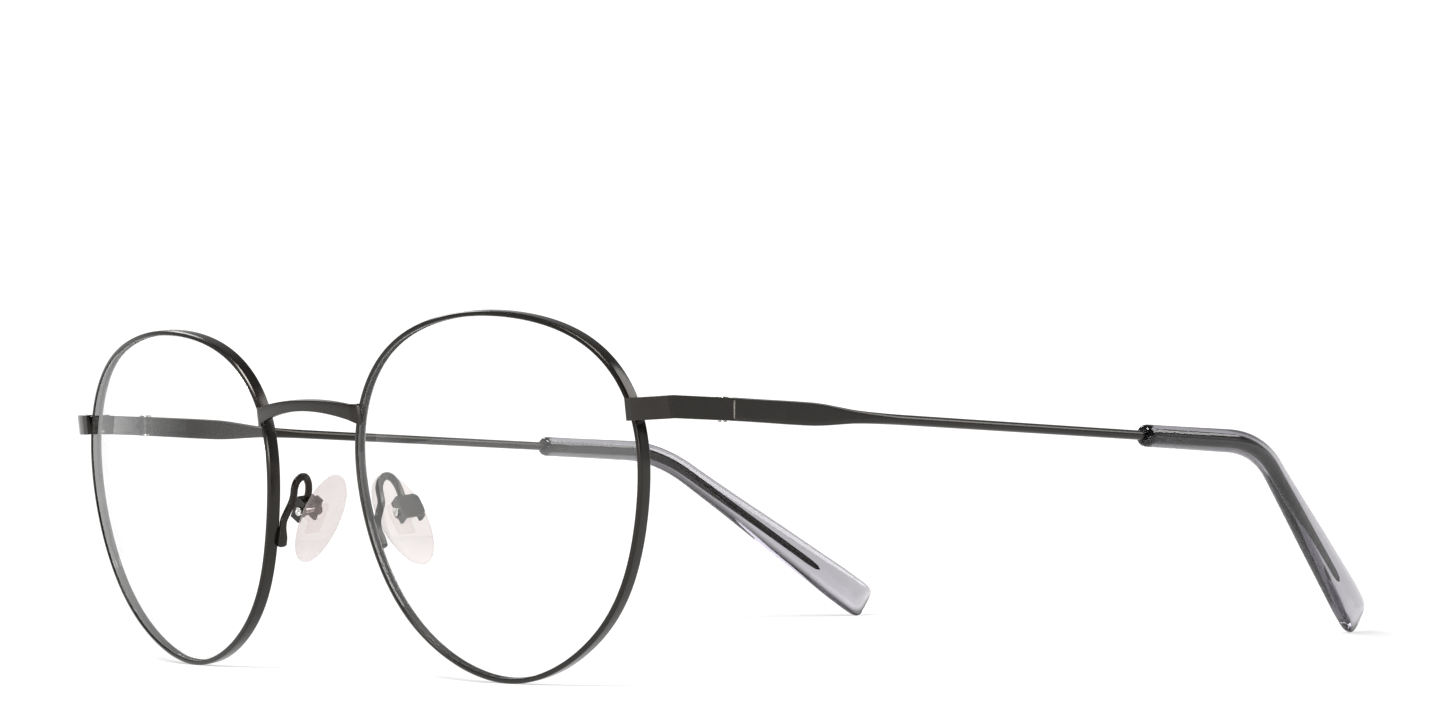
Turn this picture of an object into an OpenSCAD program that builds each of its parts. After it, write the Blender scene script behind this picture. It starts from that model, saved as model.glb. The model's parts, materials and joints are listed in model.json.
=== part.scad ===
// Round wire eyeglasses, size 50-20-145: two grooved wire rims, bridge, end pieces, rim locks,
// three-barrel hinges, wire temples with acetate tips, and screw-on nose pads that rock.
// The glasses stand open on a level surface: -Y is the front, +X is the wearer's left.

/* [Front] */
// Lens width at the widest point
lens_w = 50; // [40:0.5:56]
// Distance between the lenses at the nose
lens_gap = 20; // [14:0.5:24]
// Radius of the lens front surface
base_radius = 100; // [80:5:200]
// Angle that each lens turns back towards the temple
face_wrap = 5.2; // [0:0.1:10]
// Lean of the front when the glasses stand open
front_lean = 6.3; // [0:0.1:10]

/* [Rims] */
// Rim wire outside the lens edge
rim_out = 0.3; // [0.25:0.05:0.8]
// Rim wire inside the lens edge
rim_in = 0.35; // [0.25:0.05:0.5]
// Rim wire depth, front to back
rim_d = 1.6; // [1.4:0.1:2.4]
// Lens thickness
lens_t = 1.3; // [1.2:0.1:2.2]

/* [Bridge] */
// Height of the bar at its middle
bridge_h = 1.5; // [1:0.1:2.5]
// Top of the bar above the lens centre line
bridge_top = 13.15; // [10:0.05:15]

/* [End pieces and hinges] */
// Half width over the end pieces
half_width = 64.4; // [62:0.1:70]
// Thickness of the end pieces and of the temple plates
plate_t = 1.0; // [0.8:0.1:1.2]
// Height of the end pieces and of the temple plates
plate_h = 2.8; // [2.6:0.05:4]
// Hinge barrel radius
barrel_r = 1.0; // [0.9:0.05:1.2]
// Hinge screw shank radius
pin_r = 0.55; // [0.4:0.05:0.6]

/* [Temples] */
// Temple length from the hinge axis to the tip, along the wire
temple_len = 145; // [130:1:150]
// Wire radius
wire_r = 0.64; // [0.5:0.02:0.9]
// Slope of the straight part of the temple
temple_drop = 2.95; // [0:0.1:6]
// Turn of the straight part towards the head
toe_in = 0.6; // [0:0.1:3]
// Radius of the ear bend
bend_r = 20; // [12:1:30]

/* [Nose pads] */
// Pad length
pad_len = 14.0; // [10:0.2:17]
// Pad width
pad_w = 6.9; // [5:0.1:9]
// Pad thickness at its middle
pad_t = 2.1; // [1.8:0.1:3]
// Lean of the pads towards each other at the top
pad_lean = 35; // [25:1:38]

/* [Hidden] */

gap = 0.03;                 // clearance between parts that are soldered, seated or screwed together
black = "#2b2927";
steel = "#b9b9b6";

// Lens outline: a round shape with a flat top and high shoulders, as a polar curve
outline_scale = lens_w / 50;
outline_steps = 72;
lock_a = 23;                // polar angle of the split in the rim
split_a = 0.25;             // half the angle of that split
function lens_r(a) = outline_scale * (24.05 + 0.95 * sin(a) + 1.05 * cos(2 * a) + sin(3 * a)
    - 0.35 * cos(4 * a) + 0.05 * sin(5 * a) - 0.15 * cos(6 * a)
    - 0.1 * cos(a) + 0.07 * cos(3 * a));
function lens_p(a) = lens_r(a) * [cos(a), sin(a)];
function lens_n(a) = let (t = lens_p(a + 0.1) - lens_p(a - 0.1)) [t[1], -t[0]] / norm(t);
function edge_a(i) = lock_a + split_a + i * (360 - 2 * split_a) / outline_steps;
function edge_p(a, out) = lens_p(a) + out * lens_n(a);

// Depth of the shell that lies d behind the front of the rim, at p = [x, z] in the lens frame
function shell_y(p, d) = base_radius - sqrt(pow(base_radius - d, 2) - p * p);

// Place of the lens centre line over the surface that the glasses stand on; the origin lies on
// that surface, midway between the front of the bridge and the ends of the tips
low_z = lens_r(270) + rim_out;
low_y = shell_y([0, low_z], 0.25);
stand_h = low_z * cos(front_lean) - low_y * sin(front_lean);
mid_y = 75.48;

module front_frame() {
    translate([0, -mid_y, stand_h]) rotate([front_lean, 0, 0]) children();
}

module lens_frame() {
    front_frame() translate([(lens_gap + lens_w) / 2, 0, 0]) rotate([0, 0, face_wrap]) children();
}

// Sweeps and skins
function unit(v) = v / norm(v);
function tangent(p, i) = unit(p[min(i + 1, len(p) - 1)] - p[max(i - 1, 0)]);
function power(v, e) = sign(v) * pow(abs(v), e);
function ring(c, t, ref, w, h, sharp, n) =
    let (s = unit(ref - (ref * t) * t), u = cross(s, t))
    [for (k = [0:n - 1]) let (a = 360 * (k + 0.5) / n)
        c + s * w * power(cos(a), 2 / sharp) + u * h * power(sin(a), 2 / sharp)];

module skin(rings) {
    n = len(rings[0]);
    last = len(rings) - 1;
    points = [for (r = rings) each r];
    sides = [for (i = [0:last - 1], k = [0:n - 1])
        let (m = (k + 1) % n) [i * n + k, i * n + m, (i + 1) * n + m, (i + 1) * n + k]];
    start_cap = [for (k = [n - 1:-1:0]) k];
    end_cap = [for (k = [0:n - 1]) last * n + k];
    polyhedron(points, concat([start_cap], sides, [end_cap]));
}

// Rims: wire with a groove for the lens, split at the temple side
groove_mid = rim_d / 2;
rim_section = [[rim_out, 0.25], [rim_out - 0.2, 0], [0.2 - rim_in, 0], [-rim_in, 0.2],
    [-rim_in, groove_mid - 0.3], [-0.02, groove_mid - 0.2], [-0.02, groove_mid + 0.2],
    [-rim_in, groove_mid + 0.3], [-rim_in, rim_d - 0.2], [0.2 - rim_in, rim_d],
    [rim_out - 0.2, rim_d], [rim_out, rim_d - 0.25]];

module rim() {
    color(black) lens_frame() skin([for (i = [0:outline_steps])
        let (a = edge_a(i))
        [for (c = rim_section) let (p = edge_p(a, c[0])) [p[0], shell_y(p, c[1]), p[1]]]]);
}

module lens_slab(out, d0, d1) {
    intersection() {
        rotate([90, 0, 0]) translate([0, 0, -9]) linear_extrude(12)
            polygon([for (i = [0:outline_steps]) edge_p(edge_a(i), out)]);
        translate([0, base_radius, 0]) difference() {
            sphere(base_radius - d0, $fn = 360);
            sphere(base_radius - d1, $fn = 360);
        }
    }
}

module lens() {
    color("#eef4f4", 0.35) lens_frame() union() {
        lens_slab(-rim_in - gap, (rim_d - lens_t) / 2, (rim_d + lens_t) / 2);
        lens_slab(-0.06, groove_mid - 0.17, groove_mid + 0.17);
    }
}

// Bridge: a flat bar with a parabolic top and bottom edge, soldered to the front of both rims
bridge_end = 10.95;
bridge_face = -0.15;        // front of the bar at its middle
bridge_back = 1.1;          // how far back the bar reaches at its middle
function bridge_upper(x) = bridge_top - 0.0088 * x * x;
function bridge_lower(x) = bridge_top - bridge_h - 0.0152 * x * x;
bridge_xs = [for (i = [-10:10]) i * bridge_end / 10];

module bridge_front_view() {
    corner = 0.9;
    difference() {
        polygon(concat([for (x = bridge_xs) [x, bridge_upper(x)]],
            [for (i = [20:-1:0]) [bridge_xs[i], bridge_lower(bridge_xs[i])]]));
        for (s = [-1, 1]) {
            translate([s * bridge_end, bridge_upper(bridge_end)]) rotate(45) square(corner, center = true);
            translate([s * bridge_end, bridge_lower(bridge_end)]) rotate(45) square(corner, center = true);
        }
    }
}

module bridge() {
    rim_face = 1.28;        // depth of the rims' front where the bar lies on them
    bow = 0.0072;           // the bar bows forward in the middle
    color(black) front_frame() intersection() {
        translate([0, 6, 0]) rotate([90, 0, 0]) linear_extrude(12) bridge_front_view();
        translate([0, 0, 5]) linear_extrude(12) polygon(concat(
            [for (x = bridge_xs) [x, bridge_face + bow * x * x]],
            [[bridge_end, rim_face], [9.9, rim_face], [9.5, bridge_back], [-9.5, bridge_back],
                [-9.9, rim_face], [-bridge_end, rim_face]]));
    }
}

// End pieces: a flat strip that lies on the rim's front, slants back and folds at a crease
strip_front = 4.9;          // front of the strip in the front frame
strip_in = 58.7;            // inner end of the strip, on the rim
hinge_y = 15.95 - mid_y;    // hinge axis and the joint between end piece and temple
hinge_z = stand_h + 10.57;
hinge_x = half_width - plate_t - barrel_r - 0.05;
butt = 0.05;                // half the open joint between end piece and temple

// Outside of the strip from above, as [distance in from the side, distance behind its front]
fold = [[5.7, 0], [4.7, 0.04], [3.6, 0.28], [2.4, 0.75], [1.2, 1.42], [0.22, 2.1], [0, 2.45], [0, 20]];
inside = [[plate_t, 20], [plate_t, 2.9], [1.7, 2.32], [2.9, 1.72], [3.9, 1.29], [4.8, 1.05], [5.7, 1]];

module strip_plan() {
    difference() {
        polygon([for (p = concat(fold, inside)) [half_width - p[0], strip_front + p[1]]]);
        translate([half_width - 0.2, strip_front + 2.22]) rotate(55) square([0.14, 0.14], center = true);
        translate([strip_in - 1, strip_front + 0.47]) rotate(16) square([3.0, 3]);
    }
}

module strip_side_view() {
    polygon([[strip_front - 1, 11.6], [7.7, 11.5], [19, 9.8], [19, 7.05], [7.7, 8.75],
        [strip_front - 1, 8.9]]);
}

module end_piece() {
    color(black) difference() {
        front_frame() intersection() {
            translate([0, 0, 5]) linear_extrude(10) strip_plan();
            translate([half_width - 10, 0, 0]) rotate([90, 0, 90]) linear_extrude(12) strip_side_view();
        }
        translate([half_width - 5, hinge_y - butt, 0]) cube([8, 8, 60]);
    }
}

// Rim locks: two blocks behind the end piece, closed by a screw that holds the rim shut
lock_x = [24.4, 27.1];
lock_y = [4.3, 6.6];
lock_h = 1.0;
lock_z = lens_r(lock_a) * sin(lock_a);
lock_slit = 0.1;
lock_screw_r = 0.5;
lock_screw_x = 26.0;
lock_screw_y = 5.45;

module lock_block(z0) {
    difference() {
        translate([lock_x[0], lock_y[0], z0])
            cube([lock_x[1] - lock_x[0], lock_y[1] - lock_y[0], lock_h]);
        rotate([90, 0, 0]) translate([0, 0, -9]) linear_extrude(12)
            polygon([for (i = [0:outline_steps]) edge_p(edge_a(i), rim_out + gap)]);
        translate([lock_screw_x, lock_screw_y, z0 - 1])
            cylinder(r = lock_screw_r + gap, h = lock_h + 2, $fn = 32);
    }
}

module rim_lock_upper() {
    color(black) lens_frame() lock_block(lock_z + lock_slit / 2);
}

module rim_lock_lower() {
    color(black) lens_frame() lock_block(lock_z - lock_slit / 2 - lock_h);
}

module slotted_screw(shank_r, shank_h, head_r, head_h) {
    difference() {
        union() {
            cylinder(r = shank_r, h = shank_h, $fn = 32);
            translate([0, 0, -head_h]) cylinder(r = head_r, h = head_h, $fn = 32);
        }
        translate([-head_r, -head_r / 6, -head_h - 1]) cube([2 * head_r, head_r / 3, head_h / 2 + 1]);
    }
}

module rim_lock_screw() {
    color(steel) lens_frame()
        translate([lock_screw_x, lock_screw_y, lock_z - lock_slit / 2 - lock_h - 0.01])
        slotted_screw(lock_screw_r, 2 * lock_h + lock_slit, 0.85, 0.35);
}

// Hinges: two barrels on the end piece, one on the temple, and a screw down the middle
knuckle_h = 0.78;
knuckle_gap = 0.04;
leaf_t = 0.7;
leaf_len = 6;
leaf_h = 1.7;

module at_hinge() {
    translate([hinge_x, hinge_y, hinge_z]) children();
}

module knuckle(z0, dir) {
    reach = barrel_r + 0.03;
    difference() {
        translate([0, 0, z0]) union() {
            cylinder(r = barrel_r, h = knuckle_h, $fn = 48);
            translate([0, dir > 0 ? 0 : -1.8, 0]) cube([reach, 1.8, knuckle_h]);
        }
        translate([0, 0, z0 - 1]) cylinder(r = pin_r + (dir > 0 ? 0.05 : 0.02), h = knuckle_h + 2, $fn = 48);
    }
}

module leaf_plate(dir) {
    start = barrel_r + 0.2;
    translate([barrel_r + 0.03 - leaf_t, dir > 0 ? start : -start - leaf_len, -leaf_h / 2])
        cube([leaf_t, leaf_len, leaf_h]);
}

module front_hinge_leaf() {
    color("#4a4846") at_hinge() union() {
        leaf_plate(-1);
        knuckle(knuckle_h / 2 + knuckle_gap, -1);
        knuckle(-knuckle_h * 1.5 - knuckle_gap, -1);
    }
}

module temple_hinge_leaf() {
    color("#4a4846") at_hinge() union() {
        rotate(toe_in) leaf_plate(1);
        knuckle(-knuckle_h / 2, 1);
    }
}

module hinge_screw() {
    color(steel) at_hinge() translate([0, 0, knuckle_h * 1.5 + knuckle_gap + 0.01])
        rotate([180, 0, 0]) slotted_screw(pin_r, 3 * knuckle_h + 0.42, 0.85, 0.3);
}

// Temple centre line: straight, around the ear bend, then straight to the tip
temple_x = half_width - plate_t / 2;
bend_at = 99.6;             // distance from the hinge to the corner of the bend
leg_fall = 36.12;           // slope of the part behind the ear
leg_in = 14.4;              // turn of that part towards the head
sleeve_start = 75.3;
core_end = 134.6;
dir_a = [-sin(toe_in), cos(toe_in) * cos(temple_drop), -cos(toe_in) * sin(temple_drop)];
dir_b = [-sin(leg_in), cos(leg_in) * cos(leg_fall), -cos(leg_in) * sin(leg_fall)];
bend_a = acos(dir_a * dir_b);
bend_cut = bend_r * tan(bend_a / 2);
bend_arc = bend_r * bend_a * PI / 180;
bend_s = bend_at - bend_cut;
bend_side = unit(dir_b - (dir_b * dir_a) * dir_a);

function temple_p(s) = [temple_x, hinge_y, hinge_z] + (
    s < bend_s ? s * dir_a
    : s < bend_s + bend_arc
        ? let (a = (s - bend_s) / bend_arc * bend_a)
            bend_s * dir_a + bend_r * (sin(a) * dir_a + (1 - cos(a)) * bend_side)
        : bend_at * dir_a + (bend_cut + s - bend_s - bend_arc) * dir_b);
function temple_t(s) = unit(temple_p(s + 0.05) - temple_p(s - 0.05));
function temple_ring(s, w, h, sharp, n) = ring(temple_p(s), temple_t(s), [1, 0, 0], w, h, sharp, n);

// Rows of [distance along the temple, half thickness, half height, squareness]
bend_steps = [for (i = [0:8]) bend_s + bend_arc * i / 8];
half_t = plate_t / 2;
half_h = plate_h / 2;
plate_rows = [[butt, half_t - 0.1, half_h - 0.1, 9], [butt + 0.1, half_t, half_h, 9],
    [12, half_t, half_h + 0.04, 9], [14.5, half_t, half_h, 8], [16.5, half_t + 0.02, 1.26, 6],
    [18.5, half_t + 0.05, 1.06, 5], [20.7, wire_r - 0.05, 0.84, 4], [24, wire_r, 0.73, 3],
    [29, wire_r, wire_r + 0.02, 2], [60, wire_r, wire_r, 2], [sleeve_start - 1, wire_r, wire_r, 2]];
core_r = 0.52;
core_rows = concat([[sleeve_start, core_r, core_r, 2]],
    [for (s = bend_steps) [s, core_r, core_r, 2]],
    [[120, core_r, core_r, 2], [core_end - 0.4, core_r, core_r, 2], [core_end, 0.3, 0.3, 2]]);
sleeve_rows = concat(
    [[sleeve_start, 1.15, 1.15, 2], [sleeve_start + 0.3, 1.4, 1.4, 2], [sleeve_start + 1, 1.52, 1.52, 2]],
    [for (s = bend_steps) let (k = (s - bend_s) / bend_arc) [s, 1.55 - 0.1 * k, 1.62 + 0.12 * k, 2]],
    [[114, 1.42, 1.93, 2.1], [124, 1.32, 2.35, 2.2], [134, 1.22, 2.76, 2.3], [140, 1.15, 3, 2.4],
        [143, 1.05, 3.05, 2.6], [144.2, 0.95, 2.85, 2.6], [144.8, 0.75, 2.5, 2.6], [145, 0.5, 2.1, 2.6]]);

function along(s) = s * temple_len / 145;

module temple() {
    rows = concat(plate_rows, core_rows);
    color(black) skin([for (r = rows) temple_ring(along(r[0]), r[1], r[2], r[3], 16)]);
}

module temple_tip() {
    bore = concat([[sleeve_start - 0.5, core_r, core_r, 2]], core_rows);
    color("#6d6870", 0.7) difference() {
        skin([for (r = sleeve_rows) temple_ring(along(r[0]), r[1], r[2], r[3], 20)]);
        skin([for (r = bore) temple_ring(along(r[0] + (r[0] == core_end ? 0.05 : 0)),
            r[1] + gap, r[2] + gap, r[3], 16)]);
    }
}

// Pad arms: a flat wire from the back of the rim, up in a loop and down to the pad box
arm_w = 0.5;
arm_t = 0.28;
arm_path = [[11.2, 2.85, -6.5], [10.8, 2.85, -5.3], [10.5, 2.87, -4.1], [10.3, 3.05, -3],
    [10.1, 3.6, -2], [9.85, 4.3, -0.8], [9.5, 4.5, 0.2], [9.3, 4.6, 1.1], [9.2, 5.0, 1.9],
    [9.15, 5.6, 2.35], [9.2, 6.25, 2.4], [9.4, 6.8, 2.0], [9.65, 7.15, 1.3], [9.95, 7.3, 0.5],
    [10.3, 7.3, -0.35]];
arm_smooth = 2;

// Catmull-Rom points through a list
function spline(p, steps) = concat([for (i = [0:len(p) - 2], j = [0:steps - 1])
    let (t = j / steps, a = p[max(i - 1, 0)], b = p[i], c = p[i + 1], d = p[min(i + 2, len(p) - 1)])
    0.5 * (2 * b + t * (c - a) + t * t * (2 * a - 5 * b + 4 * c - d)
        + t * t * t * (3 * b - a - 3 * c + d))], [p[len(p) - 1]]);

module pad_arm() {
    path = spline(arm_path, arm_smooth);
    color("#4f4d4d") front_frame() skin([for (i = [0:len(path) - 1])
        ring(path[i], tangent(path, i), [1, 0, 0], arm_t, arm_w, 4, 12)]);
}

// Pads: each sits in its own frame, X to the rim, Z along the pad and Y along its screw
pad_c = [8.9, 8.1, -3.6];
pad_turn = 5;
pad_axis_x = 2.4;
box_wall = 0.45;
box_front = -1.95;
box_back = 0.85;
box_web = 3.2;
box_h = 1.6;
pad_screw_r = 0.4;

module pad_frame() {
    front_frame() translate(pad_c) rotate([0, 0, -pad_turn]) rotate([0, -pad_lean, 0]) children();
}

module wall(y0, bore_r) {
    difference() {
        union() {
            translate([pad_axis_x, y0 + box_wall, 0]) rotate([90, 0, 0])
                cylinder(r = pad_axis_x - 1.5, h = box_wall, $fn = 48);
            translate([pad_axis_x - 0.4, y0, -box_h]) cube([box_web - pad_axis_x + 0.4, box_wall, 2 * box_h]);
        }
        translate([pad_axis_x, y0 + 3, 0]) rotate([90, 0, 0]) cylinder(r = bore_r, h = 6, $fn = 48);
    }
}

module box_web_plate() {
    y0 = box_front;
    y1 = box_back + box_wall;
    round_r = 0.8;
    translate([box_web, 0, 0]) rotate([90, 0, 90]) linear_extrude(box_wall) union() {
        translate([y0, -box_h]) square([y1 - y0 - round_r, 2 * box_h]);
        translate([y0, round_r - box_h]) square([y1 - y0, 2 * (box_h - round_r)]);
        for (s = [-1, 1])
            translate([y1 - round_r, s * (box_h - round_r)]) circle(round_r, $fn = 32);
    }
}

module pad_box() {
    color("#4f4d4d") pad_frame() union() {
        box_web_plate();
        wall(box_front, pad_screw_r + gap);
        wall(box_back, pad_screw_r + gap);
    }
}

module pad_screw() {
    length = box_back + box_wall - box_front;
    color(steel) pad_frame() translate([pad_axis_x, box_front - 0.01, 0]) rotate([-90, 0, 0])
        slotted_screw(pad_screw_r, length, 0.6, 0.25);
}

lug_front = box_front + box_wall + 0.08;
lug_back = box_back - 0.08;

module insert_plate(grow) {
    translate([0.15 - grow, -1.7 - grow, -2.2 - grow]) cube([0.5 + 2 * grow, 2.4 + 2 * grow, 4.4 + 2 * grow]);
}

module pad_insert() {
    lug_r = 0.68;
    color("#d8dcd8") pad_frame() difference() {
        union() {
            insert_plate(0);
            translate([0.5, lug_front, -lug_r]) cube([pad_axis_x - 0.5, lug_back - lug_front, 2 * lug_r]);
            translate([pad_axis_x, lug_back, 0]) rotate([90, 0, 0])
                cylinder(r = lug_r, h = lug_back - lug_front, $fn = 48);
        }
        translate([pad_axis_x, lug_back + 1, 0]) rotate([90, 0, 0])
            cylinder(r = pad_screw_r + 0.05, h = lug_back - lug_front + 2, $fn = 48);
    }
}

// Rows of [depth, share of the outline] from the bearing face to the back
pad_rows = [[-0.5, 0.45], [-0.46, 0.7], [-0.32, 0.88], [-0.1, 0.98], [0.12, 1], [0.3, 0.96],
    [0.42, 0.86], [0.46, 0.6]];

function pad_p(a) = [pad_w / 2 * (1 + 0.06 * sin(a)) * cos(a), pad_len / 2 * sin(a)];

module nose_pad() {
    color("#efe6e4", 0.6) pad_frame() difference() {
        skin([for (r = pad_rows) [for (k = [0:27]) let (p = pad_p(-360 * k / 28) * r[1])
            [r[0] * pad_t, p[0], p[1]]]]);
        insert_plate(gap);
        translate([0.4, lug_front - gap, -0.68 - gap])
            cube([2, lug_back - lug_front + 2 * gap, 2 * (0.68 + gap)]);
    }
}

module right() {
    mirror([1, 0, 0]) children();
}

rim();  // rim_left
right() rim();  // rim_right
lens();  // lens_left
right() lens();  // lens_right
bridge();
end_piece();  // end_piece_left
right() end_piece();  // end_piece_right
rim_lock_upper();  // rim_lock_upper_left
right() rim_lock_upper();  // rim_lock_upper_right
rim_lock_lower();  // rim_lock_lower_left
right() rim_lock_lower();  // rim_lock_lower_right
rim_lock_screw();  // rim_lock_screw_left
right() rim_lock_screw();  // rim_lock_screw_right
front_hinge_leaf();  // front_hinge_leaf_left
right() front_hinge_leaf();  // front_hinge_leaf_right
temple_hinge_leaf();  // temple_hinge_leaf_left
right() temple_hinge_leaf();  // temple_hinge_leaf_right
hinge_screw();  // hinge_screw_left
right() hinge_screw();  // hinge_screw_right
temple();  // temple_left
right() temple();  // temple_right
temple_tip();  // temple_tip_left
right() temple_tip();  // temple_tip_right
pad_arm();  // pad_arm_left
right() pad_arm();  // pad_arm_right
pad_box();  // pad_box_left
right() pad_box();  // pad_box_right
pad_screw();  // pad_screw_left
right() pad_screw();  // pad_screw_right
pad_insert();  // pad_insert_left
right() pad_insert();  // pad_insert_right
nose_pad();  // nose_pad_left
right() nose_pad();  // nose_pad_right
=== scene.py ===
"""Looks for the round wire eyeglasses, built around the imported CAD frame.

Each CAD node is replaced by a finer piece of the same name with "v_" before it. The pieces are
worked out in millimetres in the frames below, and turned into metres when their mesh is made.
x runs to the wearer's left, y from the front of the glasses to the ear ends, z up.
"""
import json
import math

import bmesh
import bpy
from mathutils import Matrix, Vector

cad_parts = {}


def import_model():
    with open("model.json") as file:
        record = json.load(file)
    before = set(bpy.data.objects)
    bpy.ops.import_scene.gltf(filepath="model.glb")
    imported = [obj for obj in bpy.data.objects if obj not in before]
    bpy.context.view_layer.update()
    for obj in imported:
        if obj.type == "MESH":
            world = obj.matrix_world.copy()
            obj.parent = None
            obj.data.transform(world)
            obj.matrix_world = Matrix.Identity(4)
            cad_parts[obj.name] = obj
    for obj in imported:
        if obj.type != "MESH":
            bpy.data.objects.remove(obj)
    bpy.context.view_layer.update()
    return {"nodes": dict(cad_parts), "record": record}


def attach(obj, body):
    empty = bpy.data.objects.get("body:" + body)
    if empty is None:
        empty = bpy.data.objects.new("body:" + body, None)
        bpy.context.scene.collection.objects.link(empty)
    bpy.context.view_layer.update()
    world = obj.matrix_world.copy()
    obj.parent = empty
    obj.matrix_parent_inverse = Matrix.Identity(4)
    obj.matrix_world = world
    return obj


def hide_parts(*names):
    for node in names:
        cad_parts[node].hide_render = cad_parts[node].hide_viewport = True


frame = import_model()

MM = 0.001
SIDES = ("left", "right")
BODY_OF = {
    node: body
    for body, nodes in frame["record"]["behaviour"]["bodies"].items()
    for node in nodes
}

# ---------------------------------------------------------------- frames of reference, in mm
# FRONT is the leaning plane of the two lenses, LENS the left lens in it, PAD the left nose pad in
# it. The right-hand pieces are the left ones mirrored by SIDE.

STAND_H = 22.6355
MID_Y = 75.48
FRONT_LEAN = math.radians(6.3)
FRONT = Matrix.Translation((0, -MID_Y, STAND_H)) @ Matrix.Rotation(FRONT_LEAN, 4, "X")
LENS = FRONT @ Matrix.Translation((35, 0, 0)) @ Matrix.Rotation(math.radians(5.2), 4, "Z")
PAD = (
    FRONT
    @ Matrix.Translation((8.9, 8.1, -3.6))
    @ Matrix.Rotation(math.radians(-5), 4, "Z")
    @ Matrix.Rotation(math.radians(-35), 4, "Y")
)
SIDE = {"left": Matrix.Identity(4), "right": Matrix.Diagonal((-1, 1, 1, 1))}


# ---------------------------------------------------------------- camera

CAMERA_PLACE = Vector((376.94, -268.13, 35.63))
CAMERA_AZIMUTH, CAMERA_HEIGHT, CAMERA_ROLL = (math.radians(a) for a in (-42.229, 2.827, -5.616))
FOCAL_LENGTH, SENSOR_WIDTH = 88.95, 36


def camera():
    """The photograph's viewpoint; its place and angles are given in the frame FRONT."""
    level = math.cos(CAMERA_HEIGHT)
    back = Vector((
        level * math.cos(CAMERA_AZIMUTH),
        level * math.sin(CAMERA_AZIMUTH),
        math.sin(CAMERA_HEIGHT),
    ))
    flat = Vector((0, 0, 1)).cross(back).normalized()
    right = math.cos(CAMERA_ROLL) * flat + math.sin(CAMERA_ROLL) * back.cross(flat)
    pose = Matrix((right, back.cross(right), back)).transposed().to_4x4()
    pose.translation = CAMERA_PLACE
    pose = FRONT @ pose
    pose.translation *= MM
    data = bpy.data.cameras.new("camera")
    data.sensor_fit = "HORIZONTAL"
    data.sensor_width = SENSOR_WIDTH
    data.lens = FOCAL_LENGTH
    data.clip_start = 0.01
    data.clip_end = 20
    obj = bpy.data.objects.new("camera", data)
    bpy.context.scene.collection.objects.link(obj)
    obj.matrix_world = pose
    bpy.context.scene.camera = obj


camera()


# ---------------------------------------------------------------- materials

def material(name):
    """A new material, its node tree and its main shader."""
    mat = bpy.data.materials.new(name)
    mat.use_nodes = True
    tree = mat.node_tree
    shader = tree.nodes["Principled BSDF"]
    return mat, tree, shader


def node(tree, kind, **values):
    """A new node; a value is a setting of the node or, failing that, one of its inputs."""
    made = tree.nodes.new(kind)
    for key, value in values.items():
        if hasattr(made, key):
            setattr(made, key, value)
        else:
            made.inputs[key.replace("_", " ")].default_value = value
    return made


def noise(tree, scale, detail=3, roughness=0.5):
    """Noise over the object's own coordinates; scale is in features per metre."""
    coords = node(tree, "ShaderNodeTexCoord")
    made = node(tree, "ShaderNodeTexNoise", Scale=scale, Detail=detail, Roughness=roughness)
    tree.links.new(coords.outputs["Object"], made.inputs["Vector"])
    return made


def vary(tree, source, low, high, target):
    """Drives a number socket with noise, between low and high."""
    span = node(tree, "ShaderNodeMapRange")
    for key, value in (("From Min", 0.3), ("From Max", 0.7), ("To Min", low), ("To Max", high)):
        span.inputs[key].default_value = value
    tree.links.new(source.outputs["Fac"], span.inputs["Value"])
    tree.links.new(span.outputs["Result"], target)


def tint(tree, source, first, second, target):
    """Drives a colour socket with noise, between two colours."""
    ramp = node(tree, "ShaderNodeValToRGB")
    ramp.color_ramp.elements[0].position = 0.35
    ramp.color_ramp.elements[1].position = 0.65
    ramp.color_ramp.elements[0].color = (*first, 1)
    ramp.color_ramp.elements[1].color = (*second, 1)
    tree.links.new(source.outputs["Fac"], ramp.inputs["Fac"])
    tree.links.new(ramp.outputs["Color"], target)


def bump(tree, shader, source, strength, depth):
    made = node(tree, "ShaderNodeBump", Strength=strength, Distance=depth)
    tree.links.new(source.outputs["Fac"], made.inputs["Height"])
    tree.links.new(made.outputs["Normal"], shader.inputs["Normal"])


def painted(name, first, second, rough):
    """Satin electroplated or painted metal with a faint orange peel."""
    mat, tree, shader = material(name)
    tint(tree, noise(tree, 900), first, second, shader.inputs["Base Color"])
    vary(tree, noise(tree, 2600), rough[0], rough[1], shader.inputs["Roughness"])
    shader.inputs["IOR"].default_value = 1.42
    shader.inputs["Specular Tint"].default_value = (1, 0.93, 0.86, 1)
    bump(tree, shader, noise(tree, 5200, 2), 0.12, 0.00002)
    return mat


def steel(name):
    """Plated screws, with fine wear."""
    mat, tree, shader = material(name)
    tint(tree, noise(tree, 3000), (0.45, 0.44, 0.42), (0.58, 0.57, 0.55), shader.inputs["Base Color"])
    shader.inputs["Metallic"].default_value = 1
    vary(tree, noise(tree, 6000), 0.16, 0.3, shader.inputs["Roughness"])
    return mat


LENS_INDEX = 1.42


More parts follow.
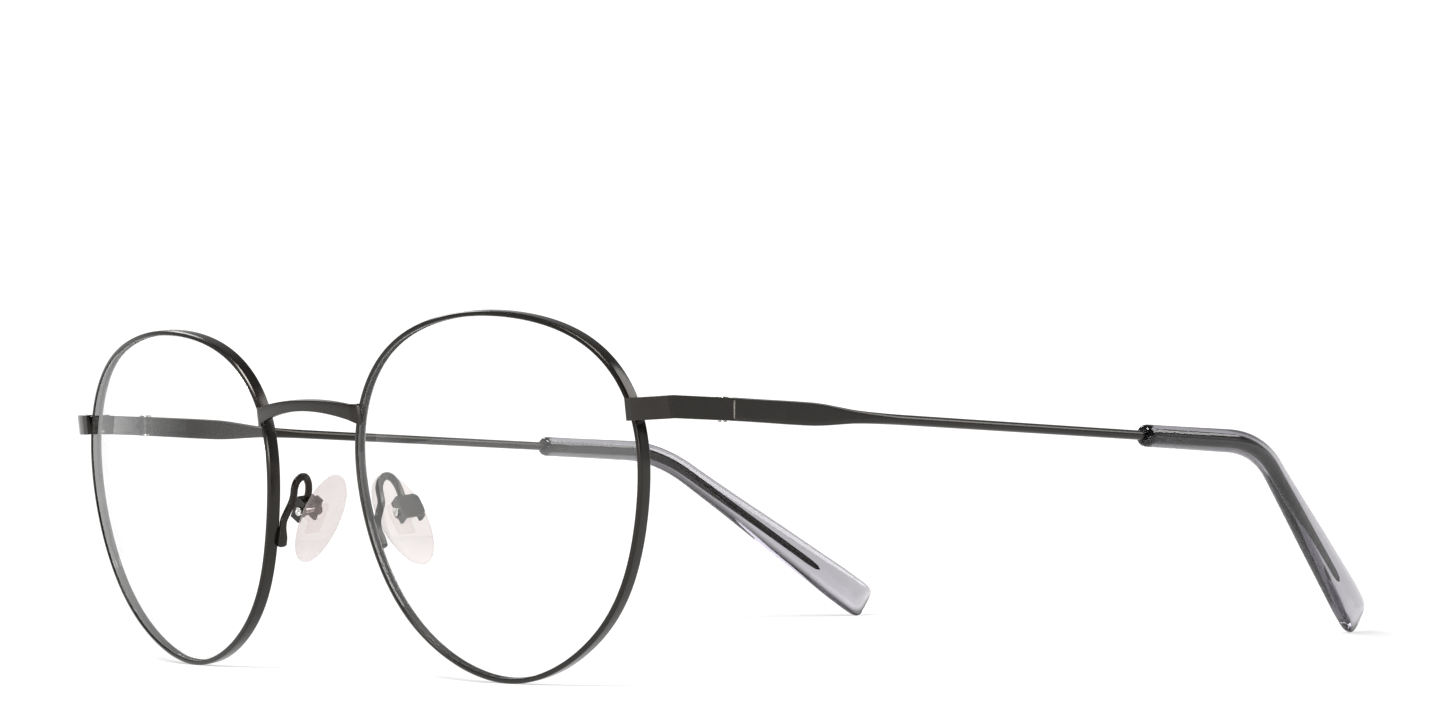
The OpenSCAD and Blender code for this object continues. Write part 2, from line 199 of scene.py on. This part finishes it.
def coated_lens(name):
    """A lens too thin to bend what is behind it: it lets light through and mirrors a little.

    Light that leaves through a back face meets the inverse index, so both faces mirror alike.
    """
    mat, tree, shader = material(name)
    tree.nodes.remove(shader)
    out = tree.nodes["Material Output"]
    clear = node(tree, "ShaderNodeBsdfTransparent")
    clear.inputs["Color"].default_value = (0.998, 1, 0.999, 1)
    mirror = node(tree, "ShaderNodeBsdfGlossy")
    mirror.inputs["Color"].default_value = (1, 1, 1, 1)
    mirror.inputs["Roughness"].default_value = 0.0
    share = node(tree, "ShaderNodeFresnel")
    face = node(tree, "ShaderNodeNewGeometry")
    index = node(tree, "ShaderNodeMapRange")
    index.inputs["To Min"].default_value = LENS_INDEX
    index.inputs["To Max"].default_value = 1 / LENS_INDEX
    tree.links.new(face.outputs["Backfacing"], index.inputs["Value"])
    tree.links.new(index.outputs["Result"], share.inputs["IOR"])
    mix = node(tree, "ShaderNodeMixShader")
    tree.links.new(share.outputs["Fac"], mix.inputs["Fac"])
    tree.links.new(clear.outputs["BSDF"], mix.inputs[1])
    tree.links.new(mirror.outputs["BSDF"], mix.inputs[2])
    tree.links.new(mix.outputs["Shader"], out.inputs["Surface"])
    return mat


def glassy(name, color, density, ior, rough, smears):
    """Clear plastic, tinted by how far light travels in it."""
    mat, tree, shader = material(name)
    shader.inputs["Base Color"].default_value = (1, 1, 1, 1)
    shader.inputs["Transmission Weight"].default_value = 1
    shader.inputs["IOR"].default_value = ior
    vary(tree, noise(tree, 400), rough[0], rough[1], shader.inputs["Roughness"])
    bump(tree, shader, noise(tree, 350, 1), smears, 0.0001)
    absorb = node(tree, "ShaderNodeVolumeAbsorption", Density=density)
    absorb.inputs["Color"].default_value = (*color, 1)
    tree.links.new(absorb.outputs["Volume"], tree.nodes["Material Output"].inputs["Volume"])
    return mat


def silicone(name, through=(0.85, 0.82, 0.815), least=0.08, most=0.45):
    """Soft clear rubber: mostly see-through, a little milky, denser where it is seen edge on.

    least and most are the milky share seen face on and edge on.
    """
    mat, tree, shader = material(name)
    tint(tree, noise(tree, 500), (0.68, 0.63, 0.62), (0.74, 0.69, 0.68), shader.inputs["Base Color"])
    shader.inputs["Roughness"].default_value = 0.15
    shader.inputs["IOR"].default_value = 1.3
    bump(tree, shader, noise(tree, 350, 1), 0.1, 0.0001)
    clear = node(tree, "ShaderNodeBsdfTransparent")
    clear.inputs["Color"].default_value = (*through, 1)
    edge = node(tree, "ShaderNodeLayerWeight", Blend=0.5)
    share = node(tree, "ShaderNodeMapRange")
    for key, value in (("From Min", 0.35), ("From Max", 0.95), ("To Min", least), ("To Max", most)):
        share.inputs[key].default_value = value
    tree.links.new(edge.outputs["Facing"], share.inputs["Value"])
    mix = node(tree, "ShaderNodeMixShader")
    tree.links.new(share.outputs["Result"], mix.inputs["Fac"])
    tree.links.new(clear.outputs["BSDF"], mix.inputs[1])
    tree.links.new(shader.outputs["BSDF"], mix.inputs[2])
    tree.links.new(mix.outputs["Shader"], tree.nodes["Material Output"].inputs["Surface"])
    return mat


BLACK = painted("black_satin", (0.0042, 0.0036, 0.003), (0.0058, 0.005, 0.0042), (0.16, 0.24))
DARK = painted("hinge_dark", (0.008, 0.0078, 0.0075), (0.012, 0.0115, 0.011), (0.24, 0.36))
STEEL = steel("screw_steel")
CLEAR = coated_lens("lens_coated")
SMOKE = glassy("tip_acetate", (0.16, 0.12, 0.2), 360, 1.49, (0.0, 0.015), smears=0.03)
SILICONE = silicone("pad_silicone")
INSERT = silicone("insert_clear", (0.98, 0.965, 0.96), 0.02, 0.12)


# ---------------------------------------------------------------- building pieces

def link(name, mesh, mat):
    """Puts in the piece that replaces the CAD node called name."""
    mesh.materials.clear()
    mesh.materials.append(mat)
    obj = bpy.data.objects.new("v_" + name, mesh)
    bpy.context.scene.collection.objects.link(obj)
    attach(obj, BODY_OF[name])
    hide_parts(name)
    return obj


def smooth(mesh, angle):
    """Smooth shading, with edges sharper than angle degrees kept sharp."""
    mesh.shade_smooth()
    mesh.set_sharp_from_angle(angle=math.radians(angle))


def build(name, verts, faces, place, mat, angle=40):
    """The piece for the CAD node called name, from points in mm in the frame place."""
    mesh = bpy.data.meshes.new(name)
    mesh.from_pydata([(place @ Vector(v)) * MM for v in verts], [], faces)
    bm = bmesh.new()
    bm.from_mesh(mesh)
    bmesh.ops.recalc_face_normals(bm, faces=bm.faces)
    bm.to_mesh(mesh)
    bm.free()
    smooth(mesh, angle)
    link(name, mesh, mat)


def softened(name, mat, width):
    """A copy of a CAD node with its sharp edges rounded, width mm wide."""
    mesh = frame["nodes"][name].data.copy()
    bm = bmesh.new()
    bm.from_mesh(mesh)
    bmesh.ops.remove_doubles(bm, verts=bm.verts, dist=1e-7)
    bmesh.ops.dissolve_limit(
        bm, angle_limit=math.radians(0.6), verts=bm.verts, edges=bm.edges, delimit=set()
    )
    bm.to_mesh(mesh)
    bm.free()
    mesh.name = name
    smooth(mesh, 30)
    obj = link(name, mesh, mat)
    mod = obj.modifiers.new("bevel", "BEVEL")
    mod.width = width * MM
    mod.segments = 3
    mod.limit_method = "ANGLE"
    mod.angle_limit = math.radians(30)
    mod.use_clamp_overlap = True
    mod.harden_normals = True


def skin(rings, around=False):
    """Faces through rings of points; around joins the last ring to the first."""
    n = len(rings[0])
    verts = [p for ring in rings for p in ring]
    count = len(rings)
    faces = [
        (i * n + k, i * n + (k + 1) % n, (i + 1) % count * n + (k + 1) % n, (i + 1) % count * n + k)
        for i in range(count if around else count - 1)
        for k in range(n)
    ]
    if not around:
        faces.append(tuple(range(n - 1, -1, -1)))
        faces.append(tuple((count - 1) * n + k for k in range(n)))
    return verts, faces


CORNER_STEPS = 4


def rounded(corners):
    """A closed outline with each (u, v, radius) corner rounded by a quadratic arc."""
    out = []
    n = len(corners)
    for i, (u, v, radius) in enumerate(corners):
        here = Vector((u, v))
        ends = []
        for other in (corners[i - 1], corners[(i + 1) % n]):
            to = Vector(other[:2]) - here
            ends.append(here + to.normalized() * min(radius, to.length * 0.49))
        for s in range(CORNER_STEPS + 1):
            t = s / CORNER_STEPS
            out.append((1 - t) ** 2 * ends[0] + 2 * t * (1 - t) * here + t * t * ends[1])
    return out


def ring(centre, along, half_w, half_h, sharp, n):
    """A superellipse of n points across the direction along: half_w sideways, half_h upright.

    sharp is 2 for an ellipse, and higher for squarer corners.
    """
    side = Vector((1, 0, 0))
    side = (side - side.dot(along) * along).normalized()
    up = side.cross(along)
    points = []
    for k in range(n):
        a = 2 * math.pi * (k + 0.5) / n
        c, s = math.cos(a), math.sin(a)
        points.append(
            centre
            + side * half_w * math.copysign(abs(c) ** (2 / sharp), c)
            + up * half_h * math.copysign(abs(s) ** (2 / sharp), s)
        )
    return points


def eased(rows, steps):
    """Rows of numbers, with smooth steps put between them that don't overshoot."""
    slopes = []
    for i in range(len(rows)):
        row = [1.0]
        for c in range(1, len(rows[0])):
            if 0 < i < len(rows) - 1:
                a = (rows[i][c] - rows[i - 1][c]) / (rows[i][0] - rows[i - 1][0])
                b = (rows[i + 1][c] - rows[i][c]) / (rows[i + 1][0] - rows[i][0])
                row.append(0.0 if a * b <= 0 else 2 * a * b / (a + b))
            else:
                row.append(0.0)
        slopes.append(row)
    out = []
    for i in range(len(rows) - 1):
        p, q = rows[i], rows[i + 1]
        gap = q[0] - p[0]
        for s in range(steps):
            t = s / steps
            h = (2 * t**3 - 3 * t**2 + 1, t**3 - 2 * t**2 + t, 3 * t**2 - 2 * t**3, t**3 - t**2)
            out.append([
                h[0] * p[c] + h[1] * gap * slopes[i][c] + h[2] * q[c] + h[3] * gap * slopes[i + 1][c]
                for c in range(len(p))
            ])
    out.append(rows[-1])
    return out


# ---------------------------------------------------------------- lens outline

BASE_R = 100  # of the sphere that the lenses and rims follow
RIM_OUT, RIM_IN, RIM_D = 0.3, 0.35, 1.6  # outside and inside of the lens outline, and depth
LENS_T = 1.3
SPLIT = math.radians(23)  # where the rim is cut for its lock
SPLIT_HALF = math.radians(0.25)


def lens_r(a):
    """The left lens's outline: nearly round, flat on top, with high shoulders."""
    return (
        24.05 + 0.95 * math.sin(a) + 1.05 * math.cos(2 * a) + math.sin(3 * a)
        - 0.35 * math.cos(4 * a) + 0.05 * math.sin(5 * a) - 0.15 * math.cos(6 * a)
        - 0.1 * math.cos(a) + 0.07 * math.cos(3 * a)
    )


def edge_p(a, out):
    """The point of the outline at angle a, moved out mm square to it."""
    def at(b):
        return Vector((math.cos(b), math.sin(b))) * lens_r(b)

    t = (at(a + 0.002) - at(a - 0.002)).normalized()
    return at(a) + out * Vector((t.y, -t.x))


def shell(p, depth):
    """The point behind p = (x, z) that lies depth behind the front of the rim."""
    return (p[0], BASE_R - math.sqrt((BASE_R - depth) ** 2 - p[0] ** 2 - p[1] ** 2), p[1])


def rims():
    """Wire with chamfered front edges and a V groove for the lens, open at the split."""
    mid = RIM_D / 2
    floor_of_groove = -0.02
    section = rounded([
        (RIM_OUT, 0.16, 0.04), (RIM_OUT - 0.15, 0, 0.04),
        (-RIM_IN + 0.12, 0, 0.03), (-RIM_IN, 0.12, 0.03),
        (-RIM_IN, mid - 0.3, 0.05), (floor_of_groove, mid - 0.2, 0.03),
        (floor_of_groove, mid + 0.2, 0.03), (-RIM_IN, mid + 0.3, 0.05),
        (-RIM_IN, RIM_D - 0.3, 0.1), (-0.12, RIM_D, 0.1), (RIM_OUT, RIM_D, 0.16),
    ])
    steps = 320
    first, span = SPLIT + SPLIT_HALF, 2 * (math.pi - SPLIT_HALF)
    rings = []
    for i in range(steps + 1):
        a = first + span * i / steps
        rings.append([shell(edge_p(a, c.x), c.y) for c in section])
    verts, faces = skin(rings)
    for side in SIDES:
        build("rim_" + side, verts, faces, SIDE[side] @ LENS, BLACK)


def lenses():
    """From the middle of the front face, round the bevelled edge, to the middle of the back."""
    around, edge, bevel, eased_edge = 240, -RIM_IN - 0.03, -0.06, 0.12
    angles = [2 * math.pi * k / around for k in range(around)]
    front, back = (RIM_D - LENS_T) / 2, (RIM_D + LENS_T) / 2
    mid = RIM_D / 2
    shares = [0.02] + [k / 16 for k in range(1, 16)]
    rings = []
    for share in shares:
        rings.append([shell(edge_p(a, edge) * share, front) for a in angles])
    for out, depth in (
        (edge - eased_edge, front), (edge, front + eased_edge),
        (edge, mid - 0.4), (bevel, mid - 0.12), (bevel, mid + 0.12), (edge, mid + 0.4),
        (edge, back - eased_edge), (edge - eased_edge, back),
    ):
        rings.append([shell(edge_p(a, out), depth) for a in angles])
    for share in reversed(shares):
        rings.append([shell(edge_p(a, edge) * share, back) for a in angles])
    verts, faces = skin(rings)
    for side in SIDES:
        build("lens_" + side, verts, faces, SIDE[side] @ LENS, CLEAR, 25)


BRIDGE_END = 11.3


def clamped(value):
    return min(1.0, max(0.0, value))


def bridge():
    """A bar bowed up and forward, whose ends widen, sink and close against the rims."""
    rings = []
    count = 160
    for i in range(count + 1):
        x = -BRIDGE_END * math.cos(math.pi * i / count)
        t = abs(x)
        sink = clamped((t - 9.9) / 1.3)
        flare = clamped((t - 9.4) / 1.6) ** 2 * 0.22
        shut = max(0.02, 1 - clamped((t - 10.9) / (BRIDGE_END - 10.9)) ** 3) ** (1 / 3)
        top = 13.15 - 0.0088 * x * x
        low = 11.65 - 0.0152 * x * x
        mid_z = (top + low) / 2
        half = ((top - low) / 2 + flare) * (0.55 + 0.45 * shut)
        front = -0.15 + 0.0072 * x * x + 0.5 * sink * sink + 0.3 * (1 - shut)
        back = 1.1 + 0.18 * clamped((t - 9.3) / 0.6) + 0.3 * sink
        section = rounded([
            (front, mid_z + half, 0.2), (back, mid_z + half, 0.12),
            (back, mid_z - half, 0.12), (front, mid_z - half, 0.2),
        ])
        rings.append([(x, c.x, c.y) for c in section])
    verts, faces = skin(rings)
    build("bridge", verts, faces, FRONT, BLACK)


# ---------------------------------------------------------------- temples

# Places along a temple are measured in mm from its hinge.

HALF_WIDTH, PLATE_T, PLATE_H = 64.4, 1.0, 2.8
WIRE_R, CORE_R = 0.64, 0.52  # the core is the wire's thinner part inside the tip
HINGE_Y = 15.95 - MID_Y
HINGE_Z = STAND_H + 10.57
DROP, TOE_IN = math.radians(2.95), math.radians(0.6)
LEG_FALL, LEG_IN = math.radians(36.12), math.radians(14.4)
BEND_AT, BEND_R = 99.6, 20
SLEEVE, CORE_END = 75.3, 134.6


def heading(turn, fall):
    """The direction of a temple that turns inwards and falls by these angles."""
    return Vector((-math.sin(turn), math.cos(turn) * math.cos(fall), -math.cos(turn) * math.sin(fall)))


DIR_A, DIR_B = heading(TOE_IN, DROP), heading(LEG_IN, LEG_FALL)
BEND = DIR_A.angle(DIR_B)
BEND_CUT = BEND_R * math.tan(BEND / 2)
BEND_ARC = BEND_R * BEND
BEND_S = BEND_AT - BEND_CUT
BEND_SIDE = (DIR_B - DIR_B.dot(DIR_A) * DIR_A).normalized()
BEND_STEPS = [BEND_S + BEND_ARC * i / 8 for i in range(9)]
HINGE = Vector((HALF_WIDTH - PLATE_T / 2, HINGE_Y, HINGE_Z))


def temple_p(s):
    """The temple's centre line, s mm from the hinge."""
    if s < BEND_S:
        return HINGE + s * DIR_A
    if s < BEND_S + BEND_ARC:
        a = (s - BEND_S) / BEND_R
        return HINGE + BEND_S * DIR_A + BEND_R * (math.sin(a) * DIR_A + (1 - math.cos(a)) * BEND_SIDE)
    return HINGE + BEND_AT * DIR_A + (BEND_CUT + s - BEND_S - BEND_ARC) * DIR_B


def temple_rings(rows, n):
    """Rings of n points from rows of place, half width, half height and sharpness."""
    rings = []
    for s, half_w, half_h, sharp in rows:
        along = (temple_p(s + 0.05) - temple_p(s - 0.05)).normalized()
        rings.append(ring(temple_p(s), along, half_w, half_h, sharp, n))
    return rings


def temples():
    """A plate at the hinge, drawn down to round wire, then the core inside the tip."""
    t, h = PLATE_T / 2, PLATE_H / 2
    rows = [[0.04, t - 0.15, h - 0.15, 9], [0.19, t, h, 9]]
    rows += eased([
        [0.6, t, h, 9], [5, t, h + 0.01, 9], [10, t, h + 0.04, 9], [13, t, h + 0.03, 8.5],
        [15, t, h - 0.05, 7], [16.8, t + 0.01, 1.2, 6], [18.7, t + 0.05, 1.02, 5],
        [20.9, WIRE_R - 0.05, 0.84, 4], [24, WIRE_R, 0.73, 3], [29, WIRE_R, WIRE_R + 0.02, 2],
        [60, WIRE_R, WIRE_R, 2], [SLEEVE + 0.9, WIRE_R, WIRE_R, 2],
        [SLEEVE + 2.2, CORE_R, CORE_R, 2]] + [[s, CORE_R, CORE_R, 2] for s in BEND_STEPS] + [
        [120, CORE_R, CORE_R, 2], [CORE_END - 3, CORE_R, CORE_R, 2],
        [CORE_END - 0.8, CORE_R * 0.75, CORE_R * 0.75, 2], [CORE_END - 0.1, 0.12, 0.12, 2]], 6)
    verts, faces = skin(temple_rings(rows, 40))
    for side in SIDES:
        build("temple_" + side, verts, faces, SIDE[side], BLACK, 30)


TIP_LENGTH, TIP_CLOSES = 145, 142.6


def tips():
    """A sleeve with a rounded collar, round at first and a flat blade at the ear end."""
    rows = [[SLEEVE, 0.72, 0.72, 2], [SLEEVE + 0.02, 1.05, 1.05, 2], [SLEEVE + 0.12, 1.25, 1.25, 2],
            [SLEEVE + 0.35, 1.42, 1.42, 2], [SLEEVE + 0.7, 1.5, 1.5, 2]]
    rows += eased([[SLEEVE + 1.2, 1.52, 1.52, 2]]
        + [[s, 1.55 - 0.1 * k / 8, 1.62 + 0.12 * k / 8, 2] for k, s in enumerate(BEND_STEPS)]
        + [[114, 1.44, 1.95, 2.3], [124, 1.36, 2.38, 2.7], [134, 1.28, 2.74, 3],
           [139.5, 1.22, 2.93, 3.2], [TIP_CLOSES, 1.13, 2.95, 3.2]], 6)
    for t in (0.25, 0.5, 0.7, 0.85, 0.94, 0.98, 1.0):
        shrink = (1 - t**2.6) ** (1 / 2.6)
        place = TIP_CLOSES + (TIP_LENGTH - TIP_CLOSES) * t
        rows.append([place, 0.4 + 0.73 * shrink, 1.9 + 1.05 * shrink, 3])
    verts, faces = skin(temple_rings(rows, 48))
    for side in SIDES:
        build("temple_tip_" + side, verts, faces, SIDE[side], SMOKE, 50)


# ---------------------------------------------------------------- nose pads and their arms

# The arm's centre line in the frame FRONT, from the rim up round the loop to the pad box.
ARM = [(11.2, 2.85, -6.5), (10.8, 2.85, -5.3), (10.5, 2.87, -4.1), (10.3, 3.05, -3),
       (10.1, 3.6, -2), (9.85, 4.3, -0.8), (9.5, 4.5, 0.2), (9.3, 4.6, 1.1), (9.2, 5.0, 1.9),
       (9.15, 5.6, 2.35), (9.2, 6.25, 2.4), (9.4, 6.8, 2.0), (9.65, 7.15, 1.3), (9.95, 7.3, 0.5),
       (10.3, 7.3, -0.35)]


def spline(points, steps):
    """A Catmull-Rom curve through the points, with steps pieces between two of them."""
    out = []
    pts = [Vector(p) for p in points]
    for i in range(len(pts) - 1):
        a, b, c, d = pts[max(i - 1, 0)], pts[i], pts[i + 1], pts[min(i + 2, len(pts) - 1)]
        for j in range(steps):
            t = j / steps
            out.append(0.5 * (2 * b + t * (c - a) + t * t * (2 * a - 5 * b + 4 * c - d)
                              + t**3 * (3 * b - a - 3 * c + d)))
    out.append(pts[-1])
    return out


def pad_arms():
    """Flat wire, fuller at the foot that is soldered to the rim."""
    path = spline(ARM, 6)
    last = len(path) - 1
    rings = []
    for i, p in enumerate(path):
        along = (path[min(i + 1, last)] - path[max(i - 1, 0)]).normalized()
        foot = min(1.0, max(0.0, (14 - i) / 9))
        foot *= foot * (3 - 2 * foot)
        ends = (0.45, 0.85, 1.0)[min(i, 2)]
        half_w, half_h = (0.28 + 0.2 * foot) * ends, (0.5 + 0.18 * foot) * ends
        rings.append(ring(p, along, half_w, half_h, 4, 24))
    verts, faces = skin(rings)
    for side in SIDES:
        build("pad_arm_" + side, verts, faces, SIDE[side] @ FRONT, BLACK, 50)


def nose_pads():
    """Crowned on the bearing side, with a thin lip all round and a flatter back."""
    length, width, thick = 14.0, 6.9, 2.1
    profile = [(-0.5, 0.02), (-0.495, 0.25), (-0.48, 0.45), (-0.44, 0.62), (-0.37, 0.77), (-0.27, 0.88),
               (-0.14, 0.955), (0.0, 0.99), (0.08, 1.0), (0.2, 1.0), (0.27, 0.985), (0.3, 0.95),
               (0.33, 0.86), (0.4, 0.72), (0.45, 0.5), (0.46, 0.25), (0.46, 0.02)]
    rings = []
    for depth, share in profile:
        rings.append([
            (depth * thick,
             share * width / 2 * (1 + 0.06 * math.sin(a)) * math.cos(a),
             share * length / 2 * math.sin(a))
            for a in (2 * math.pi * k / 96 for k in range(96))
        ])
    verts, faces = skin(rings)
    for side in SIDES:
        build("nose_pad_" + side, verts, faces, SIDE[side] @ PAD, SILICONE, 24)


def hardware():
    """The pieces whose CAD shape is already right, with their edges softened."""
    for side in SIDES:
        for name, mat, slot, width in (
            ("end_piece_", BLACK, "frame_black", 0.1),
            ("rim_lock_upper_", BLACK, "frame_black", 0.12),
            ("rim_lock_lower_", BLACK, "frame_black", 0.12),
            ("rim_lock_screw_", STEEL, "screw_steel", 0.05),
            ("front_hinge_leaf_", DARK, "hinge_metal", 0.06),
            ("temple_hinge_leaf_", DARK, "hinge_metal", 0.06),
            ("hinge_screw_", STEEL, "screw_steel", 0.05),
            ("pad_box_", BLACK, "arm_metal", 0.2),
            ("pad_screw_", STEEL, "screw_steel", 0.04),
            ("pad_insert_", INSERT, "insert_clear", 0.08),
        ):
            softened(name + side, mat, width)


rims()
lenses()
bridge()
temples()
tips()
pad_arms()
nose_pads()
hardware()


# ---------------------------------------------------------------- floor and light

def floor():
    """White, and brighter away from the glasses, so that it runs into the backdrop unseen."""
    mesh = bpy.data.meshes.new("floor")
    half = 0.6
    low = -0.00001
    mesh.from_pydata(
        [(-half, -half, low), (half, -half, low), (half, half, low), (-half, half, low)], [], [(0, 1, 2, 3)]
    )
    mat, tree, shader = material("floor_white")
    shader.inputs["Base Color"].default_value = (0.45, 0.45, 0.45, 1)
    shader.inputs["Roughness"].default_value = 0.9
    shader.inputs["Specular IOR Level"].default_value = 0.0
    shader.inputs["Emission Color"].default_value = (1, 1, 1, 1)
    coords = node(tree, "ShaderNodeTexCoord")
    away = node(tree, "ShaderNodeVectorMath", operation="LENGTH")
    glow = node(tree, "ShaderNodeMapRange")
    for key, value in (("From Min", 0.12), ("From Max", 0.42), ("To Min", 0.47), ("To Max", 0.86)):
        glow.inputs[key].default_value = value
    tree.links.new(coords.outputs["Object"], away.inputs[0])
    tree.links.new(away.outputs["Value"], glow.inputs["Value"])
    tree.links.new(glow.outputs["Result"], shader.inputs["Emission Strength"])
    mesh.materials.append(mat)
    obj = bpy.data.objects.new("floor", mesh)
    bpy.context.scene.collection.objects.link(obj)


def softbox(name, place, target, size, radiance):
    """A rectangular light at place, facing target, size metres across."""
    data = bpy.data.lights.new(name, "AREA")
    data.shape = "RECTANGLE"
    data.size, data.size_y = size
    data.energy = radiance * math.pi * size[0] * size[1]
    obj = bpy.data.objects.new(name, data)
    bpy.context.scene.collection.objects.link(obj)
    obj.location = place
    obj.rotation_mode = "QUATERNION"
    obj.rotation_quaternion = (Vector(target) - Vector(place)).to_track_quat("-Z", "Y")


def world():
    """A white backdrop low behind the glasses, dimmer above and towards the camera.

    The camera sees plain white. The grey band between the backdrop and the side gives the clear
    parts their dark edges.
    """
    made = bpy.data.worlds.new("studio")
    bpy.context.scene.world = made
    made.use_nodes = True
    tree = made.node_tree
    tree.nodes.clear()
    out = node(tree, "ShaderNodeOutputWorld")
    seen = node(tree, "ShaderNodeBackground", Strength=1.2)
    seen.inputs["Color"].default_value = (1, 1, 1, 1)
    room = node(tree, "ShaderNodeBackground", Strength=1.0)
    coords = node(tree, "ShaderNodeTexCoord")
    dot = node(tree, "ShaderNodeVectorMath", operation="DOT_PRODUCT")
    dot.inputs[1].default_value = (0.73, -0.67, 0.1)
    ramp = node(tree, "ShaderNodeValToRGB")
    stops = ramp.color_ramp.elements
    stops.new(0.38)
    stops.new(0.52)
    for stop, (place, grey) in zip(stops, ((0.2, 1.25), (0.38, 0.45), (0.52, 0.95), (0.85, 0.25))):
        stop.position = place
        stop.color = (grey, grey, grey, 1)
    half = node(tree, "ShaderNodeMapRange")
    half.inputs["From Min"].default_value = -1
    tree.links.new(coords.outputs["Generated"], dot.inputs[0])
    tree.links.new(dot.outputs["Value"], half.inputs["Value"])
    tree.links.new(half.outputs["Result"], ramp.inputs["Fac"])
    tree.links.new(ramp.outputs["Color"], room.inputs["Color"])
    height = node(tree, "ShaderNodeSeparateXYZ")
    high = node(tree, "ShaderNodeMapRange")
    high.inputs["From Min"].default_value = 0.12
    high.inputs["From Max"].default_value = 0.36
    high.inputs["To Min"].default_value = 1.0
    high.inputs["To Max"].default_value = 0.3
    tree.links.new(coords.outputs["Generated"], height.inputs["Vector"])
    tree.links.new(height.outputs["Z"], high.inputs["Value"])
    tree.links.new(high.outputs["Result"], room.inputs["Strength"])
    path = node(tree, "ShaderNodeLightPath")
    mix = node(tree, "ShaderNodeMixShader")
    tree.links.new(path.outputs["Is Camera Ray"], mix.inputs["Fac"])
    tree.links.new(room.outputs["Background"], mix.inputs[1])
    tree.links.new(seen.outputs["Background"], mix.inputs[2])
    tree.links.new(mix.outputs["Shader"], out.inputs["Surface"])


floor()
world()
softbox("back_right", (0.45, 0.5, 0.55), (0, 0, 0), (0.5, 0.5), 5.0)
softbox("left", (-0.56, -0.08, 0.52), (0, -0.06, 0.03), (0.3, 0.2), 8.0)
softbox("front_top", (0.08, -0.42, 0.54), (0.03, -0.06, 0.03), (0.32, 0.2), 26.0)
softbox("behind_camera", (0.56, -0.6, 0.05), (0.03, -0.06, 0.03), (0.32, 0.18), 13.0)

scene = bpy.context.scene
scene.view_settings.view_transform = "Standard"
scene.cycles.transparent_max_bounces = 16
